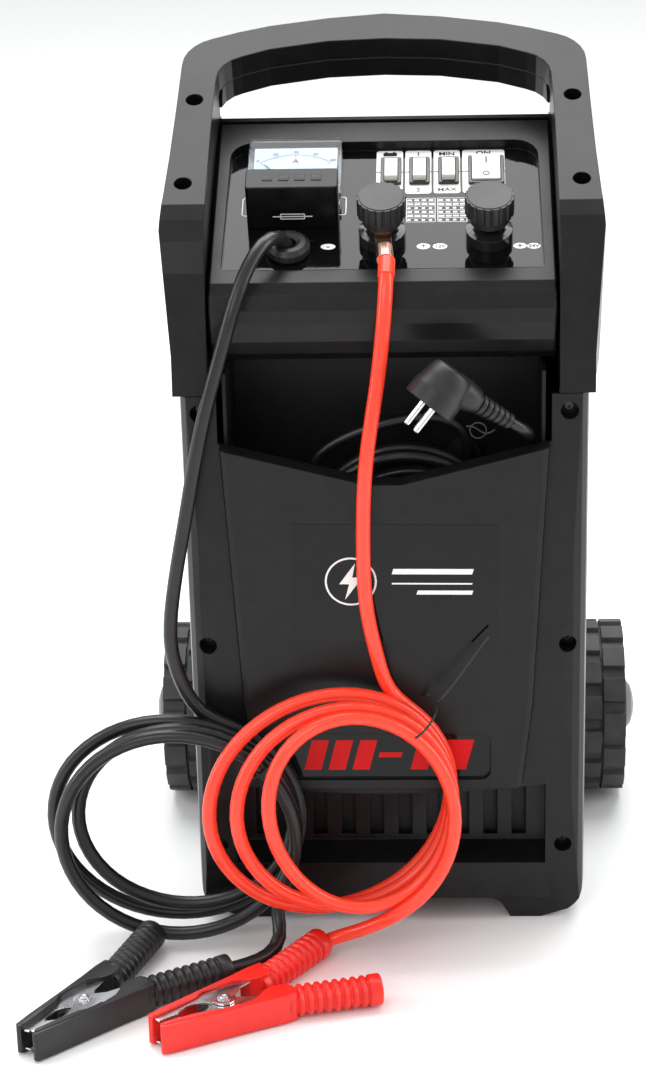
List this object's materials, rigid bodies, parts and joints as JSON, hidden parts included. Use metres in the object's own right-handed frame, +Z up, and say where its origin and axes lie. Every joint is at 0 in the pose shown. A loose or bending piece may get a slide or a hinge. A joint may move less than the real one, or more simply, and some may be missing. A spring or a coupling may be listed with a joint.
{
  "type": "car battery charger",
  "caption": "Trolley battery charger with a sloped control console, pull handle, cable pocket, rear wheels, coiled leads and spring clamps lying in front.",
  "frame": {"origin": "centre of the footprint on the floor, measured without the leads, plug and clamps", "axes": "+Z up, -Y towards the control side, +X to the right of someone facing the controls"},
  "size_m": [0.4355, 0.4777, 0.6163],
  "materials": {
    "black_plastic": "satin moulded, fine grain",
    "gloss_black": "glossy",
    "rubber": "matt",
    "wheel": "moulded, matt",
    "cap": "satin grey",
    "steel": "bright zinc",
    "copper": "bright copper",
    "brass": "bright",
    "dial": "printed",
    "clear": "clear",
    "needle": "painted",
    "cream": "satin",
    "red_plastic": "satin",
    "red_cable": "satin jacket",
    "black_cable": "satin jacket",
    "lamination": "varnished sheets",
    "winding": "enamelled wire",
    "aluminium": "extruded"
  },
  "bodies": {
    "chassis": {"handle_front_shell": "black_plastic", "handle_rear_shell": "black_plastic", "front_cover": "black_plastic", "rear_cover": "black_plastic", "pocket_liner": "black_plastic", "control_console": "black_plastic", "base_plate": "steel", "axle": "steel", "ammeter_case": "gloss_black", "ammeter_cover": "clear", "ammeter_dial": "dial", "fuse_block": "brass", "red_lug": "copper", "lead_grommet": "rubber", "cable_gland": "rubber", "mains_coil": "black_cable", "mains_cord": "black_cable", "mains_plug": "gloss_black", "red_lead": "red_cable", "red_coil": "red_cable", "red_tail": "red_cable", "black_lead": "black_cable", "black_coil": "black_cable", "black_tail": "black_cable", "transformer_core": "lamination", "transformer_winding": "winding", "rectifier_heatsink": "aluminium", "fan_housing": "black_plastic", "switch_body_charge": "gloss_black", "switch_body_stage": "gloss_black", "switch_body_range": "gloss_black", "switch_body_power": "gloss_black", "terminal_post_12v": "gloss_black", "terminal_post_24v": "gloss_black", "clamp_rivet_red": "steel", "clamp_jaw_red_fixed": "steel", "clamp_grip_red_fixed": "red_plastic", "clamp_rivet_black": "steel", "clamp_jaw_black_fixed": "steel", "clamp_grip_black_fixed": "black_plastic"},
    "wheel_left_body": {"wheel_left": "wheel", "hub_cap_left": "cap"},
    "wheel_right_body": {"wheel_right": "wheel", "hub_cap_right": "cap"},
    "fan": {"fan_rotor": "black_plastic"},
    "needle": {"ammeter_needle": "needle"},
    "fuse_lid": {"fuse_cover": "black_plastic"},
    "washer_12v": {"terminal_washer_12v": "brass"},
    "knob_12v": {"terminal_knob_12v": "black_plastic"},
    "washer_24v": {"terminal_washer_24v": "brass"},
    "knob_24v": {"terminal_knob_24v": "black_plastic"},
    "rocker_charge_body": {"rocker_charge": "cream"},
    "rocker_stage_body": {"rocker_stage": "cream"},
    "rocker_range_body": {"rocker_range": "cream"},
    "rocker_power_body": {"rocker_power": "cream"},
    "red_clamp_arm": {"clamp_jaw_red_moving": "steel", "clamp_grip_red_moving": "red_plastic"},
    "black_clamp_arm": {"clamp_jaw_black_moving": "steel", "clamp_grip_black_moving": "black_plastic"}
  },
  "joints": [
    {"name": "wheel_left_turn", "type": "hinge", "parent": "chassis", "child": "wheel_left_body", "pos_m": [-0.16, 0.08375, 0.067], "axis": [1, 0, 0], "continuous": true},
    {"name": "wheel_right_turn", "type": "hinge", "parent": "chassis", "child": "wheel_right_body", "pos_m": [0.16, 0.08375, 0.067], "axis": [1, 0, 0], "continuous": true},
    {"name": "fan_spin", "type": "hinge", "parent": "chassis", "child": "fan", "pos_m": [0.056, 0.07125, 0.275], "axis": [0, 1, 0], "continuous": true},
    {"name": "needle_swing", "type": "hinge", "parent": "chassis", "child": "needle", "pos_m": [-0.0615, -0.03845, 0.52075], "axis": [0, -0.3811, 0.9245], "range_deg": [-82, 0], "stiffness_Nm_per_rad": 0.0002, "springref_deg": 5.73},
    {"name": "fuse_lid_lift", "type": "slide", "parent": "chassis", "child": "fuse_lid", "axis": [0, -0.3811, 0.9245], "range_m": [0, 0.06]},
    {"name": "washer_12v_travel", "type": "slide", "parent": "chassis", "child": "washer_12v", "axis": [0, -0.3811, 0.9245], "range_m": [0, 0.00451]},
    {"name": "knob_12v_turn", "type": "hinge", "parent": "washer_12v", "child": "knob_12v", "pos_m": [-0.0003, -0.09165, 0.51861], "axis": [0, -0.3811, 0.9245], "range_deg": [0, 1080]},
    {"name": "washer_24v_travel", "type": "slide", "parent": "chassis", "child": "washer_24v", "axis": [0, -0.3811, 0.9245], "range_m": [0, 0.00451]},
    {"name": "knob_24v_turn", "type": "hinge", "parent": "washer_24v", "child": "knob_24v", "pos_m": [0.0721, -0.09165, 0.51861], "axis": [0, -0.3811, 0.9245], "range_deg": [0, 1080]},
    {"name": "rocker_charge_tilt", "type": "hinge", "parent": "chassis", "child": "rocker_charge_body", "pos_m": [0.005, -0.01342, 0.52511], "axis": [1, 0, 0], "range_deg": [0, 12]},
    {"name": "rocker_stage_tilt", "type": "hinge", "parent": "chassis", "child": "rocker_stage_body", "pos_m": [0.0248, -0.01342, 0.52511], "axis": [1, 0, 0], "range_deg": [0, 12]},
    {"name": "rocker_range_tilt", "type": "hinge", "parent": "chassis", "child": "rocker_range_body", "pos_m": [0.045, -0.01342, 0.52511], "axis": [1, 0, 0], "range_deg": [0, 12]},
    {"name": "rocker_power_tilt", "type": "hinge", "parent": "chassis", "child": "rocker_power_body", "pos_m": [0.0712, -0.01342, 0.52511], "axis": [1, 0, 0], "range_deg": [-12, 0]},
    {"name": "red_clamp_squeeze", "type": "hinge", "parent": "chassis", "child": "red_clamp_arm", "pos_m": [-0.1114, -0.28035, 0.012], "axis": [0, 0, 1], "range_deg": [0, 12], "stiffness_Nm_per_rad": 0.2, "springref_deg": -5.73},
    {"name": "black_clamp_squeeze", "type": "hinge", "parent": "chassis", "child": "black_clamp_arm", "pos_m": [-0.2066, -0.28055, 0.012], "axis": [0, 0, 1], "range_deg": [-12, 0], "stiffness_Nm_per_rad": 0.2, "springref_deg": 5.73}
  ],
  "couplings": [
    {"joint": "washer_12v_travel", "follows": "knob_12v_turn", "m_per_rad": 0.00023873},
    {"joint": "washer_24v_travel", "follows": "knob_24v_turn", "m_per_rad": 0.00023873}
  ]
}
